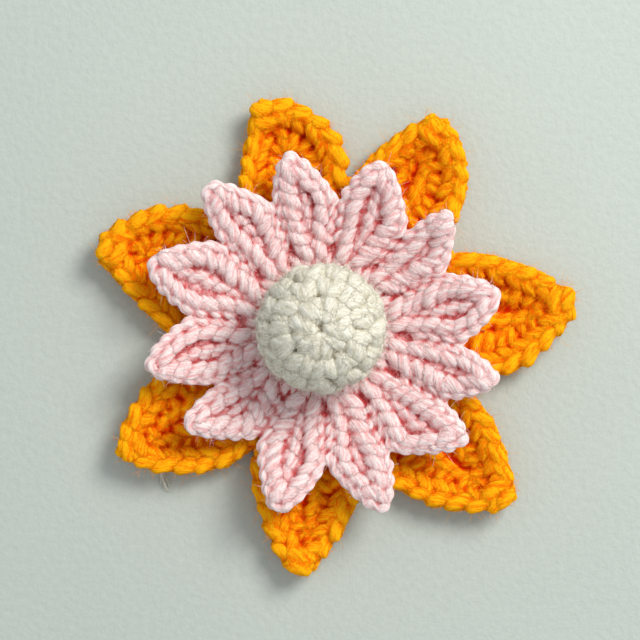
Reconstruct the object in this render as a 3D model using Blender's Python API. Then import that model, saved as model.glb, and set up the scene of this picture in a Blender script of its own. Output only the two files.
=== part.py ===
"""A crocheted flower that lies flat: seven orange petals, twelve pink ones and a cream ball.

Each coloured layer is crocheted in one piece. They are stacked on one axis and sewn through their middle
holes. Lengths are in metres and +Z is up. The flower rests on the underside of its orange layer.
"""

import math
from collections import namedtuple

import bmesh
import bpy
from mathutils import Vector

MM = 0.001

# Gap left between pieces that lie on each other
CLEARANCE = 0.3 * MM

# Sewing yarn through the middle, and its crossed stitches in the dimple on the back
SEWING_YARN_WIDTH = 1.7 * MM
SEWING_STEM_WIDTH = 3.0 * MM
BACK_STITCH_SPAN = 10.0 * MM
BACK_STITCH_COUNT = 2
BACK_STITCH_LOWEST = 0.3 * MM
BACK_STITCH_STEP = 0.25 * MM
BACK_STITCH_FIRST_DEG = 17.0

# Middle of both layers, where the rounds of stitches start
HOLE_WIDTH = SEWING_STEM_WIDTH + 2 * CLEARANCE
HOLE_HALF_THICKNESS = 0.9 * MM
THINNEST_HALF = 0.5 * MM
DIMPLE_RADIUS = 6.2 * MM
DIMPLE_EDGE_RADIUS = 9.5 * MM
BACK_STITCH_TOP = BACK_STITCH_LOWEST + (BACK_STITCH_COUNT - 1) * BACK_STITCH_STEP + SEWING_YARN_WIDTH
DIMPLE_HEIGHT = BACK_STITCH_TOP + CLEARANCE

# Orange layer: flat on the table inside, with petals whose rims stand up as cups
ORANGE_RADIUS = 53.7 * MM
ORANGE_HALF_THICKNESS = 1.7 * MM
ORANGE_MIDDLE_HEIGHT = 1.25 * MM
ORANGE_CUP_DEPTH = 3.8 * MM
ORANGE_CUP_START_RADIUS = 0.3 * ORANGE_RADIUS
ORANGE_CUP_FULL_RADIUS = 0.6 * ORANGE_RADIUS
ORANGE_TIP_START_RADIUS = 0.69 * ORANGE_RADIUS
ORANGE_TIP_RISE = 3.4 * MM
ORANGE_FINGER_SHARE = 0.22

# Pink layer: it lies on the rims of the orange cups
PINK_RADIUS = 39.0 * MM
PINK_HALF_THICKNESS = 1.5 * MM
PINK_TIP_START_RADIUS = 0.736 * PINK_RADIUS
PINK_TIP_RISE = 1.2 * MM
PINK_FINGER_SHARE = 0.42

# Stitch relief on both layers
STRAND_RELIEF = 0.45 * MM
BEAD_RELIEF = 0.25 * MM
OUTLINE_WAVE = 0.3 * MM
SLIT_WIDTH = 0.5 * MM
HIGHEST_RELIEF = STRAND_RELIEF + BEAD_RELIEF

# Ball, which is widest at its shoulder and stands on the pink layer
BALL_WIDTH = 26.6 * MM
BALL_HEIGHT_BELOW_SHOULDER = 7.6 * MM
BALL_HEIGHT_ABOVE_SHOULDER = 11.4 * MM
BALL_FOOT_WIDTH = 13.0 * MM
BALL_STITCH_RELIEF = 0.8 * MM
BALL_POLE_STITCH_COUNT = 7
BALL_STITCH_COUNT = 14
BALL_POLE_ROUND_COUNT = 2
BALL_ROUND_COUNT = 7

# Directions are in degrees from +X, anticlockwise seen from above. Reach, notch radius and half-width
# are shares of the layer's radius. A petal's notch is the one on its anticlockwise side. lift is what its
# tip rises more than the layer's tip rise, as a share of that. A side with a half-width narrows or widens
# to it beyond its notch, and one without is as wide as its notch makes it. A higher taper keeps it wide
# for longer.
Side = namedtuple("Side", "half_width taper")
PINK_SIDE = Side(None, 1.5)
Petal = namedtuple(
    "Petal",
    "tip_deg reach notch_deg notch_radius lift clockwise anticlockwise",
    defaults=(PINK_SIDE, PINK_SIDE),
)
ORANGE_PETALS = (
    Petal(6.2, 0.991, 34.7, 0.521, 0.00, Side(0.270, 3.2), Side(0.222, 2.3)),
    Petal(60.6, 0.935, 81.6, 0.503, 0.18, Side(0.238, 4.0), Side(0.212, 1.9)),
    Petal(105.0, 0.911, 127.7, 0.521, 0.09, Side(0.270, 4.2), Side(0.197, 1.4)),
    Petal(159.6, 0.926, 188.0, 0.531, 0.26, Side(0.253, 3.5), Side(0.227, 1.7)),
    Petal(211.9, 0.922, 240.2, 0.531, 0.21, Side(0.212, 2.3), Side(0.257, 2.3)),
    Petal(264.8, 0.968, 286.5, 0.540, 0.06, Side(0.212, 2.1), Side(0.216, 2.4)),
    Petal(317.2, 1.000, 339.0, 0.531, 0.12, Side(0.231, 2.9), Side(0.264, 1.9)),
)
PINK_PETALS = (
    Petal(10.8, 0.931, 23.3, 0.697, 0.17),
    Petal(42.0, 0.887, 47.9, 0.662, 0.75),
    Petal(70.0, 0.908, 82.3, 0.667, 0.25),
    Petal(101.0, 0.913, 111.3, 0.687, 0.50),
    Petal(129.0, 0.946, 139.6, 0.687, 0.83),
    Petal(159.6, 0.946, 174.7, 0.682, 0.33),
    Petal(193.0, 0.921, 209.0, 0.590, 0.75),
    Petal(215.8, 0.869, 240.4, 0.656, 0.08),
    Petal(256.4, 0.974, 272.1, 0.715, 0.58),
    Petal(289.0, 1.000, 298.7, 0.733, 0.25),
    Petal(322.0, 0.946, 329.0, 0.728, 0.67),
    Petal(343.4, 0.944, 353.0, 0.723, 1.08),
)

# A column of a petal's grid: its place from one edge, at -1, to the other, at 1, and the height of its
# strand, from below 0 in a groove to 1 on a crest.
Column = namedtuple("Column", "place crest")
PINK_COLUMNS = (
    Column(-1.0, -1.7),
    Column(-0.84, 1.0),
    Column(-0.56, -0.3),
    Column(-0.3, 0.8),
    Column(0.0, -1.2),
    Column(0.3, 0.8),
    Column(0.56, -0.3),
    Column(0.84, 1.0),
    Column(1.0, -1.7),
)
ORANGE_COLUMNS = (
    Column(-1.0, -1.7),
    Column(-0.88, 1.0),
    Column(-0.68, -0.5),
    Column(-0.45, 0.7),
    Column(-0.22, -0.3),
    Column(0.0, 0.5),
    Column(0.22, -0.3),
    Column(0.45, 0.7),
    Column(0.68, -0.5),
    Column(0.88, 1.0),
    Column(1.0, -1.7),
)

# Rows of a petal's grid run from its hole to its tip. The last one stops just short of the tip, which
# leaves it blunt. Rows lie closer together towards the tip, for its round end.
LAST_ROW_SHARE = 0.985
TIP_ROW_CROWDING = 1.35
TAPER_POWER = 1.35
NOTCH_BLEND = 6
PINK_INNER_ROWS = 8
PINK_OUTER_ROWS = 5
ORANGE_INNER_ROWS = 7
ORANGE_OUTER_ROWS = 8

Layer = namedtuple("Layer", "radius petals columns inner_rows outer_rows finger")
ORANGE = Layer(
    ORANGE_RADIUS,
    ORANGE_PETALS,
    ORANGE_COLUMNS,
    ORANGE_INNER_ROWS,
    ORANGE_OUTER_ROWS,
    ORANGE_FINGER_SHARE,
)
PINK = Layer(
    PINK_RADIUS, PINK_PETALS, PINK_COLUMNS, PINK_INNER_ROWS, PINK_OUTER_ROWS, PINK_FINGER_SHARE
)


def clear_scene():
    for obj in list(bpy.data.objects):
        bpy.data.objects.remove(obj)


def collection_named(name):
    found = bpy.data.collections.new(name)
    bpy.context.scene.collection.children.link(found)
    return found


def yarn_material(name, colour):
    material = bpy.data.materials.new(name)
    material.use_nodes = True
    shader = material.node_tree.nodes["Principled BSDF"]
    shader.inputs["Base Color"].default_value = (*colour, 1.0)
    shader.inputs["Roughness"].default_value = 0.9
    shader.inputs["Metallic"].default_value = 0.0
    return material


def smooth_step(low, high, value):
    share = min(1.0, max(0.0, (value - low) / (high - low)))
    return share * share * (3 - 2 * share)


def polar(angle_deg, radius):
    angle = math.radians(angle_deg)
    return Vector((math.cos(angle) * radius, math.sin(angle) * radius))


def orange_height(radius):
    """Height of the orange layer's middle, halfway through its thickness."""
    dimple = 1 - smooth_step(DIMPLE_RADIUS, DIMPLE_EDGE_RADIUS, radius)
    over_stitches = DIMPLE_HEIGHT + HOLE_HALF_THICKNESS + HIGHEST_RELIEF
    return ORANGE_MIDDLE_HEIGHT + (over_stitches - ORANGE_MIDDLE_HEIGHT) * dimple


def orange_half_thickness(radius):
    fullness = smooth_step(DIMPLE_RADIUS, DIMPLE_EDGE_RADIUS, radius)
    return HOLE_HALF_THICKNESS + (ORANGE_HALF_THICKNESS - HOLE_HALF_THICKNESS) * fullness


def orange_lift(petal, radius):
    """How much an orange petal's middle line rises towards its tip."""
    risen = smooth_step(ORANGE_TIP_START_RADIUS, petal.reach * ORANGE_RADIUS, radius)
    return ORANGE_TIP_RISE * (1 + petal.lift) * risen


def orange_cup(petal, radius):
    """How far the rim of an orange petal stands above its middle line."""
    grown = smooth_step(ORANGE_CUP_START_RADIUS, ORANGE_CUP_FULL_RADIUS, radius)
    fading = smooth_step(ORANGE_TIP_START_RADIUS, petal.reach * ORANGE_RADIUS, radius)
    return ORANGE_CUP_DEPTH * grown * (1 - fading)


def orange_top(radius):
    """Top of the orange layer at this radius, on whichever petal's rim is highest there."""
    highest = max(orange_lift(petal, radius) + orange_cup(petal, radius) for petal in ORANGE_PETALS)
    return orange_height(radius) + highest + orange_half_thickness(radius) + HIGHEST_RELIEF


def pink_half_thickness(radius):
    fullness = smooth_step(DIMPLE_RADIUS, DIMPLE_EDGE_RADIUS, radius)
    return HOLE_HALF_THICKNESS + (PINK_HALF_THICKNESS - HOLE_HALF_THICKNESS) * fullness


def pink_height(radius):
    """Height of the pink layer halfway through its thickness. It clears the orange layer below it."""
    return orange_top(radius) + CLEARANCE + pink_half_thickness(radius) + HIGHEST_RELIEF


def ball_bottom():
    """Height of the ball's foot, just above the pink layer."""
    under_foot = (0, DIMPLE_RADIUS, BALL_FOOT_WIDTH / 2)
    tops = [pink_height(radius) + pink_half_thickness(radius) for radius in under_foot]
    return max(tops) + HIGHEST_RELIEF + CLEARANCE


def width_share(finger_share, taper, along):
    """Width of a petal between its notch, at 0, and its tip, at 1, where it ends in a blunt finger."""
    finger = finger_share * math.sqrt(max(0.0, 1 - along**6))
    return finger + (1 - finger_share) * max(0.0, 1 - along**taper) ** TAPER_POWER


def inner_place(layer, notch_before, petal, place, row):
    """Place of a point between the hole and the notches. The rows there are arcs about the axis."""
    before_deg, before_radius = notch_before
    side = (place + 1) / 2
    along = row / layer.inner_rows
    edge = layer.radius * (before_radius + (petal.notch_radius - before_radius) * side)
    radius = HOLE_WIDTH / 2 + (edge - HOLE_WIDTH / 2) * along
    return polar(before_deg + (petal.notch_deg - before_deg) * side, radius)


def outer_place(layer, notch_before, petal, place, row):
    """Place of a point between the notches and the tip, where the petal narrows about its own line."""
    left_over = 1 - (row - layer.inner_rows) / layer.outer_rows
    along = LAST_ROW_SHARE * (1 - left_over**TIP_ROW_CROWDING)
    tip = polar(petal.tip_deg, petal.reach * layer.radius)
    start = inner_place(layer, notch_before, petal, 0, layer.inner_rows)
    edge = inner_place(layer, notch_before, petal, place, layer.inner_rows)
    line = (tip - start).normalized()
    left = Vector((-line.y, line.x))
    lagging = (edge - start).dot(line) * (1 - along)
    side = petal.anticlockwise if place > 0 else petal.clockwise
    notch = inner_place(layer, notch_before, petal, math.copysign(1, place), layer.inner_rows)
    notch_width = abs((notch - start).dot(left))
    full_width = side.half_width * layer.radius if side.half_width else notch_width
    width = full_width * width_share(layer.finger, side.taper, along)
    width += (notch_width - full_width) * (1 - along) ** NOTCH_BLEND
    sideways = (edge - start).dot(left) * width / notch_width
    return start + (tip - start) * along + line * lagging + left * sideways


def kept_between(flat, clockwise_deg, anticlockwise_deg):
    """The point, moved about the axis if need be, so that it leaves its half of the slit open between
    its petal and the next."""
    margin = math.degrees(SLIT_WIDTH / 2 / flat.length)
    middle = (clockwise_deg + anticlockwise_deg) / 2
    turn = (math.degrees(math.atan2(flat.y, flat.x)) - middle + 180) % 360 - 180
    half_sector = (anticlockwise_deg - clockwise_deg) / 2 - margin
    return polar(middle + min(half_sector, max(-half_sector, turn)), flat.length)


def petal_grid(sheet, layer, notch_before, petal, height_of):
    """Adds one petal to the sheet as a flat grid, and moves its points to their places and heights.
    Its edge points meet those of its neighbours as far out as the notches."""
    bead_side = sheet.verts.layers.float["bead"]
    crest = sheet.verts.layers.float["crest"]
    rows = layer.inner_rows + layer.outer_rows
    made = bmesh.ops.create_grid(sheet, x_segments=len(layer.columns) - 1, y_segments=rows, size=1)
    for vertex in made["verts"]:
        index = round((vertex.co.x + 1) / 2 * (len(layer.columns) - 1))
        row = round((vertex.co.y + 1) / 2 * rows)
        column = layer.columns[index]
        on_petal = inner_place if row <= layer.inner_rows else outer_place
        flat = on_petal(layer, notch_before, petal, column.place, row)
        bead = 1 if (row + index // 2) % 2 else -1
        at_edge = abs(column.place) == 1
        if at_edge:
            bead = 1 if row % 2 else -1
            if row > layer.inner_rows:
                radial = flat.normalized()
                flat += Vector((-radial.y, radial.x)) * column.place * bead * OUTLINE_WAVE
                flat = kept_between(flat, notch_before[0], petal.notch_deg)
        vertex.co = (flat.x, flat.y, height_of(petal, flat.length, column.place))
        vertex[bead_side] = bead
        vertex[crest] = column.crest


def orange_point_height(petal, radius, place):
    return orange_height(radius) + orange_lift(petal, radius) + orange_cup(petal, radius) * place**2


def pink_point_height(petal, radius, place):
    curl = smooth_step(PINK_TIP_START_RADIUS, petal.reach * PINK_RADIUS, radius)
    return pink_height(radius) + PINK_TIP_RISE * (1 + petal.lift) * curl


def petal_layer(name, layer, half_thickness_of, height_of, material, parts):
    """One crocheted piece: all its petals as one sheet, which is then given its thickness."""
    sheet = bmesh.new()
    sheet.verts.layers.float.new("bead")
    sheet.verts.layers.float.new("crest")
    for number, petal in enumerate(layer.petals):
        last = layer.petals[number - 1]
        turn_back = 360 if number == 0 else 0
        notch_before = (last.notch_deg - turn_back, last.notch_radius)
        petal_grid(sheet, layer, notch_before, petal, height_of)
    bmesh.ops.remove_doubles(sheet, verts=sheet.verts[:], dist=0.01 * MM)
    grown = bmesh.ops.extrude_face_region(sheet, geom=sheet.faces[:], use_keep_orig=True)
    upper = {item for item in grown["geom"] if isinstance(item, bmesh.types.BMVert)}
    bead_side = sheet.verts.layers.float["bead"]
    crest = sheet.verts.layers.float["crest"]
    for vertex in sheet.verts:
        radius = vertex.co.xy.length
        relief = vertex[crest] * STRAND_RELIEF + vertex[bead_side] * BEAD_RELIEF
        relief *= smooth_step(HOLE_WIDTH / 2, DIMPLE_RADIUS, radius)
        half = max(THINNEST_HALF, half_thickness_of(radius) + relief)
        vertex.co.z = max(0.0, vertex.co.z + (half if vertex in upper else -half))
    bmesh.ops.recalc_face_normals(sheet, faces=sheet.faces[:])
    mesh = bpy.data.meshes.new(name)
    sheet.to_mesh(mesh)
    sheet.free()
    mesh.materials.append(material)
    parts.objects.link(bpy.data.objects.new(name, mesh))


def ball_bulge(row, around, rows):
    """How far a point of the ball stands out, from 0 in a groove to 1 on a stitch. A round of stitches
    has two rows: one on its crests and one in the groove to the next round."""
    if row in (0, rows):
        return 0.0
    if row % 2 == 0:
        return 0.15
    from_pole = min(row, rows - row) // 2
    count = BALL_POLE_STITCH_COUNT if from_pole < BALL_POLE_ROUND_COUNT - 1 else BALL_STITCH_COUNT
    return (1 + math.cos(count * around + math.pi * (row // 2))) / 2


def ball(material, parts):
    """The stuffed ball, as a sphere whose stitches bulge. Its lower half is flatter, with a flat foot."""
    name = "cream_ball"
    mesh = bpy.data.meshes.new(name)
    body = bmesh.new()
    rows = 2 * BALL_ROUND_COUNT + 2
    bmesh.ops.create_uvsphere(body, u_segments=2 * BALL_STITCH_COUNT, v_segments=rows, radius=1)
    shoulder = ball_bottom() + BALL_HEIGHT_BELOW_SHOULDER
    for vertex in body.verts:
        around = math.atan2(vertex.co.y, vertex.co.x)
        row = round(math.acos(max(-1.0, min(1.0, vertex.co.z))) / math.pi * rows)
        height = BALL_HEIGHT_ABOVE_SHOULDER if vertex.co.z > 0 else BALL_HEIGHT_BELOW_SHOULDER
        half_width = BALL_WIDTH / 2
        shape = Vector((vertex.co.x * half_width, vertex.co.y * half_width, vertex.co.z * height))
        shape *= 1 - BALL_STITCH_RELIEF * (1 - ball_bulge(row, around, rows)) / shape.length
        if shape.xy.length < BALL_FOOT_WIDTH / 2 and shape.z < 0:
            shape.z = -BALL_HEIGHT_BELOW_SHOULDER
        vertex.co = shape + Vector((0, 0, shoulder))
    body.to_mesh(mesh)
    body.free()
    mesh.materials.append(material)
    parts.objects.link(bpy.data.objects.new(name, mesh))


def yarn_rod(name, start, end, width):
    """A straight closed length of yarn with rounded ends."""
    mesh = bpy.data.meshes.new(name)
    rod = bmesh.new()
    bmesh.ops.create_uvsphere(rod, u_segments=8, v_segments=6, radius=width / 2)
    length = (end - start).length
    for vertex in rod.verts:
        vertex.co.z += length / 2 if vertex.co.z > 0.001 * MM else -length / 2
    turn = (end - start).to_track_quat("Z", "Y").to_matrix().to_4x4()
    bmesh.ops.transform(rod, matrix=turn, verts=rod.verts[:])
    bmesh.ops.translate(rod, vec=(start + end) / 2, verts=rod.verts[:])
    rod.to_mesh(mesh)
    rod.free()
    return bpy.data.objects.new(name, mesh)


def sewing_stitches(material, parts, helpers):
    """The yarn that holds the layers: a stem up through both holes, and crossed stitches on the back."""
    cap = SEWING_STEM_WIDTH / 2
    low = Vector((0, 0, BACK_STITCH_LOWEST + cap))
    high = Vector((0, 0, ball_bottom() - CLEARANCE - cap))
    stem = yarn_rod("sewing_stitches", low, high, SEWING_STEM_WIDTH)
    parts.objects.link(stem)
    turn_between = 180 / BACK_STITCH_COUNT
    for number in range(BACK_STITCH_COUNT):
        height = BACK_STITCH_LOWEST + number * BACK_STITCH_STEP + SEWING_YARN_WIDTH / 2
        half_length = (BACK_STITCH_SPAN - SEWING_YARN_WIDTH) / 2
        flat_end = polar(BACK_STITCH_FIRST_DEG + number * turn_between, half_length)
        start = Vector((-flat_end.x, -flat_end.y, height))
        end = Vector((flat_end.x, flat_end.y, height))
        stitch = yarn_rod(f"back_stitch_{number + 1}", start, end, SEWING_YARN_WIDTH)
        stitch.hide_render = True
        stitch.display_type = "WIRE"
        helpers.objects.link(stitch)
        join = stem.modifiers.new("Join " + stitch.name, "BOOLEAN")
        join.operation = "UNION"
        join.solver = "EXACT"
        join.object = stitch
    stem.data.materials.append(material)


def centre_on_origin(parts):
    """Moves the flower so that the origin is under the middle of its outline."""
    bpy.context.view_layer.update()
    graph = bpy.context.evaluated_depsgraph_get()
    corners = [
        Vector(corner) for obj in parts.objects for corner in obj.evaluated_get(graph).bound_box
    ]
    low = Vector([min(corner[axis] for corner in corners) for axis in range(3)])
    high = Vector([max(corner[axis] for corner in corners) for axis in range(3)])
    shift = Vector((-(low.x + high.x) / 2, -(low.y + high.y) / 2, -low.z))
    for obj in bpy.data.objects:
        obj.location += shift


def main():
    clear_scene()
    parts = collection_named("crocheted_flower")
    helpers = collection_named("joined_pieces")
    orange = yarn_material("orange_yarn", (0.95, 0.36, 0.01))
    pink = yarn_material("pink_yarn", (0.82, 0.58, 0.63))
    cream = yarn_material("cream_yarn", (0.72, 0.68, 0.57))
    petal_layer("orange_petal_layer", ORANGE, orange_half_thickness, orange_point_height, orange, parts)
    petal_layer("pink_petal_layer", PINK, pink_half_thickness, pink_point_height, pink, parts)
    ball(cream, parts)
    sewing_stitches(cream, parts, helpers)
    centre_on_origin(parts)


main()
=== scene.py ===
"""Dresses the flower's frame in crocheted yarn.

Every stitch is a short length of plied yarn that is laid along its petal or round the ball, over a soft
core. Stitches and core become one felted skin, and loose fibres stand off it. Lengths are in metres, in
the frame's own axes.
"""

import math
import random
from collections import namedtuple

import bmesh
import bpy
import numpy
from bpy.props import FloatProperty, FloatVectorProperty, IntProperty, PointerProperty
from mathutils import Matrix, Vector
from mathutils.bvhtree import BVHTree
from mathutils.interpolate import poly_3d_calc
from mathutils.kdtree import KDTree


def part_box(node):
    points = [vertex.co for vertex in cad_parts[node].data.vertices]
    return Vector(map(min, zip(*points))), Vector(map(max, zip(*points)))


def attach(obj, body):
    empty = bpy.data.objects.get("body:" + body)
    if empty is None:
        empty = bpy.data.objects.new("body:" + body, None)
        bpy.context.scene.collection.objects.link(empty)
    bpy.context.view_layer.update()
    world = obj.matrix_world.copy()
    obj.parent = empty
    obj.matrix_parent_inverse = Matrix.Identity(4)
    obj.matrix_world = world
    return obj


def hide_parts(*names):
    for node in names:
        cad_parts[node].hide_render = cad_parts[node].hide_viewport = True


bl_info = {
    "name": "Crocheted flower",
    "version": (1, 0, 0),
    "blender": (4, 5, 0),
    "location": "3D Viewport > Sidebar > Flower",
    "description": "Dresses a crocheted flower in yarn stitches",
    "category": "Object",
}

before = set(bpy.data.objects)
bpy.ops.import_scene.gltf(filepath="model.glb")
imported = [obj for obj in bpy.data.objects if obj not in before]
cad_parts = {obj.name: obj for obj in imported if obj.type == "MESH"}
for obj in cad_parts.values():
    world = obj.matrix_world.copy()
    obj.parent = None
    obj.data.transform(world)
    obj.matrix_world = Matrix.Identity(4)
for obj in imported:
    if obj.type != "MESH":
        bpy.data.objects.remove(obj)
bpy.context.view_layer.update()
MM = 0.001

# The flower's own axis, which the ball and both petal layers share
BALL_LOW, BALL_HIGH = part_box("cream_ball")
AXIS = Vector(((BALL_LOW[0] + BALL_HIGH[0]) / 2, (BALL_LOW[1] + BALL_HIGH[1]) / 2))
BALL_RADIUS = (BALL_HIGH[0] - BALL_LOW[0]) / 2
BALL_SHOULDER = BALL_LOW[2] + 0.4 * (BALL_HIGH[2] - BALL_LOW[2])

# Middle of both layers
HOLE_RADIUS = 1.8 * MM
HOLE_HALF_THICKNESS = 0.9 * MM
DIMPLE_RADIUS = 6.2 * MM
DIMPLE_EDGE_RADIUS = 9.5 * MM
DIMPLE_RISE = 2.9 * MM

# Heights of the orange layer, which is flat inside and has rims that stand up as cups
ORANGE_HALF_THICKNESS = 1.7 * MM
ORANGE_MIDDLE_HEIGHT = 1.25 * MM
ORANGE_CUP_DEPTH = 3.8 * MM
ORANGE_CUP_START_RADIUS = 16.1 * MM
ORANGE_CUP_FULL_RADIUS = 32.2 * MM
ORANGE_TIP_START_RADIUS = 37.0 * MM
ORANGE_TIP_RISE = 3.4 * MM

# Heights of the pink layer, which lies on the orange rims
PINK_HALF_THICKNESS = 1.5 * MM
PINK_TIP_START_RADIUS = 28.7 * MM
PINK_TIP_RISE = 1.2 * MM
LAYER_GAP = 0.3 * MM
HIGHEST_RELIEF = 0.7 * MM

# The plies that a felted strand shows, how far they stand out of it, and how far their fibres do
PLIES = 4
PLY_RELIEF = 0.1 * MM
YARN_RELIEF = 0.35 * MM

# Yarn lower than this is pressed by the paper that it lies on
REST_HEIGHT = 0.8 * MM

# How a petal narrows towards its tip, and how soon its width stops following its notches
TAPER_POWER = 1.35
NOTCH_BLEND = 6

# Directions are in degrees from +X, anticlockwise seen from above. Reach, notch radius and half-width
# are shares of the layer's radius. A petal's notch is the one on its anticlockwise side. A side with no
# half-width of its own is as wide as the petal is at its notches.
Side = namedtuple("Side", "half_width taper")
PINK_SIDE = Side(None, 1.5)
Petal = namedtuple(
    "Petal",
    "tip_deg reach notch_deg notch_radius lift clockwise anticlockwise",
    defaults=(PINK_SIDE, PINK_SIDE),
)
Layer = namedtuple("Layer", "radius petals finger height half_thickness")
ORANGE_PETALS = (
    Petal(6.2, 0.991, 34.7, 0.521, 0.00, Side(0.270, 3.2), Side(0.222, 2.3)),
    Petal(60.6, 0.935, 81.6, 0.503, 0.18, Side(0.238, 4.0), Side(0.212, 1.9)),
    Petal(105.0, 0.911, 127.7, 0.521, 0.09, Side(0.270, 4.2), Side(0.197, 1.4)),
    Petal(159.6, 0.926, 188.0, 0.531, 0.26, Side(0.253, 3.5), Side(0.227, 1.7)),
    Petal(211.9, 0.922, 240.2, 0.531, 0.21, Side(0.212, 2.3), Side(0.257, 2.3)),
    Petal(264.8, 0.968, 286.5, 0.540, 0.06, Side(0.212, 2.1), Side(0.216, 2.4)),
    Petal(317.2, 1.000, 339.0, 0.531, 0.12, Side(0.231, 2.9), Side(0.264, 1.9)),
)
PINK_PETALS = (
    Petal(10.8, 0.931, 23.3, 0.697, 0.17),
    Petal(42.0, 0.887, 47.9, 0.662, 0.75),
    Petal(70.0, 0.908, 82.3, 0.667, 0.25),
    Petal(101.0, 0.913, 111.3, 0.687, 0.50),
    Petal(129.0, 0.946, 139.6, 0.687, 0.83),
    Petal(159.6, 0.946, 174.7, 0.682, 0.33),
    Petal(193.0, 0.921, 209.0, 0.590, 0.75),
    Petal(215.8, 0.869, 240.4, 0.656, 0.08),
    Petal(256.4, 0.974, 272.1, 0.715, 0.58),
    Petal(289.0, 1.000, 298.7, 0.733, 0.25),
    Petal(322.0, 0.946, 329.0, 0.728, 0.67),
    Petal(343.4, 0.944, 353.0, 0.723, 1.08),
)

# The side of each pink petal that has the smooth rope of stitches. The other side is bumpier.
PINK_ROPE_SIDES = (-1, 1, 1, -1, 1, 1, -1, -1, 1, -1, -1, 1)


def width_property(name, description, default):
    return FloatProperty(name=name, description=description, default=default, unit="LENGTH")


def count_property(name, description, default):
    return IntProperty(name=name, description=description, default=default, min=0)


def colour_property(name, description, default):
    return FloatVectorProperty(
        name=name, description=description, default=default, size=3, min=0, max=1, subtype="COLOR"
    )


class FlowerSizes(bpy.types.PropertyGroup):
    """Sizes of the yarn and its fibres"""

    orange_yarn: width_property("Orange yarn", "Width of an orange strand", 2.8 * MM)
    pink_yarn: width_property("Pink yarn", "Width of a pink strand", 2.0 * MM)
    cream_yarn: width_property("Cream yarn", "Width of a cream strand", 2.9 * MM)
    sewing_yarn: width_property("Sewing yarn", "Width of the sewing yarn", 1.7 * MM)
    nap: width_property("Nap fibre", "Width of a short fibre", 0.06 * MM)
    fuzz: width_property("Loose fibre", "Width of a long loose fibre", 0.065 * MM)
    nap_count: count_property("Nap", "Short fibres in each piece of nap", 15000)
    fuzz_count: count_property("Fuzz", "Long loose fibres of each colour", 9000)


class FlowerColours(bpy.types.PropertyGroup):
    """Colours of the yarn where light reaches it, its painted shade between its stitches, and its pale
    tone, which partly paints highlights
    """

    # The colours labelled deep paint shade between the stitches; the pale ones are partly the fibres' own
    # tone and partly painted highlight
    orange: colour_property("Orange", "Orange yarn in light", (0.93, 0.17, 0.002))
    orange_deep: colour_property("Orange, deep", "Orange yarn between stitches", (0.6, 0.015, 0.001))
    orange_pale: colour_property("Orange, pale", "Orange fibres that catch the light", (1.0, 0.45, 0.006))
    pink: colour_property("Pink", "Pink yarn in light", (0.81, 0.43, 0.43))
    pink_deep: colour_property("Pink, deep", "Pink yarn between stitches", (0.6, 0.07, 0.075))
    pink_pale: colour_property("Pink, pale", "Pink fibres that catch the light", (0.9, 0.77, 0.76))
    cream: colour_property("Cream", "Cream yarn in light", (0.61, 0.575, 0.45))
    cream_deep: colour_property("Cream, deep", "Cream yarn between stitches", (0.3, 0.22, 0.12))
    cream_pale: colour_property("Cream, pale", "Cream fibres that catch the light", (0.82, 0.8, 0.71))
    paper: colour_property("Paper", "The pale surface below", (0.555, 0.61, 0.565))


def smooth_step(low, high, value):
    share = min(1.0, max(0.0, (value - low) / (high - low)))
    return share * share * (3 - 2 * share)


def polar(angle_deg, radius):
    angle = math.radians(angle_deg)
    return Vector((math.cos(angle) * radius, math.sin(angle) * radius))


def orange_cup(petal, radius):
    grown = smooth_step(ORANGE_CUP_START_RADIUS, ORANGE_CUP_FULL_RADIUS, radius)
    fading = smooth_step(ORANGE_TIP_START_RADIUS, petal.reach * ORANGE.radius, radius)
    return ORANGE_CUP_DEPTH * grown * (1 - fading)


def orange_lift(petal, radius):
    risen = smooth_step(ORANGE_TIP_START_RADIUS, petal.reach * ORANGE.radius, radius)
    return ORANGE_TIP_RISE * (1 + petal.lift) * risen


def flat_orange_height(radius):
    dimple = 1 - smooth_step(DIMPLE_RADIUS, DIMPLE_EDGE_RADIUS, radius)
    return ORANGE_MIDDLE_HEIGHT + DIMPLE_RISE * dimple


def orange_height(petal, radius, place):
    return flat_orange_height(radius) + orange_lift(petal, radius) + orange_cup(petal, radius) * place**2


def layer_half_thickness(full, radius):
    return HOLE_HALF_THICKNESS + (full - HOLE_HALF_THICKNESS) * smooth_step(
        DIMPLE_RADIUS, DIMPLE_EDGE_RADIUS, radius
    )


def pink_height(petal, radius, place):
    highest = max(orange_lift(other, radius) + orange_cup(other, radius) for other in ORANGE_PETALS)
    orange_top = (
        flat_orange_height(radius)
        + highest
        + layer_half_thickness(ORANGE_HALF_THICKNESS, radius)
        + HIGHEST_RELIEF
    )
    resting = orange_top + LAYER_GAP + layer_half_thickness(PINK_HALF_THICKNESS, radius) + HIGHEST_RELIEF
    curl = smooth_step(PINK_TIP_START_RADIUS, petal.reach * PINK.radius, radius)
    return resting + PINK_TIP_RISE * (1 + petal.lift) * curl


ORANGE = Layer(53.7 * MM, ORANGE_PETALS, 0.22, orange_height, ORANGE_HALF_THICKNESS)
PINK = Layer(39.0 * MM, PINK_PETALS, 0.42, pink_height, PINK_HALF_THICKNESS)


def width_share(finger_share, taper, along):
    finger = finger_share * math.sqrt(max(0.0, 1 - along**6))
    return finger + (1 - finger_share) * max(0.0, 1 - along**taper) ** TAPER_POWER


def inner_place(layer, index, place, along):
    """A point between the hole, where along is 0, and the notches, where it is 1."""
    petal = layer.petals[index]
    before = layer.petals[index - 1]
    before_deg = before.notch_deg - (360 if index == 0 else 0)
    side = (place + 1) / 2
    edge = layer.radius * (before.notch_radius + (petal.notch_radius - before.notch_radius) * side)
    radius = HOLE_RADIUS + (edge - HOLE_RADIUS) * along
    return polar(before_deg + (petal.notch_deg - before_deg) * side, radius)


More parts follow.
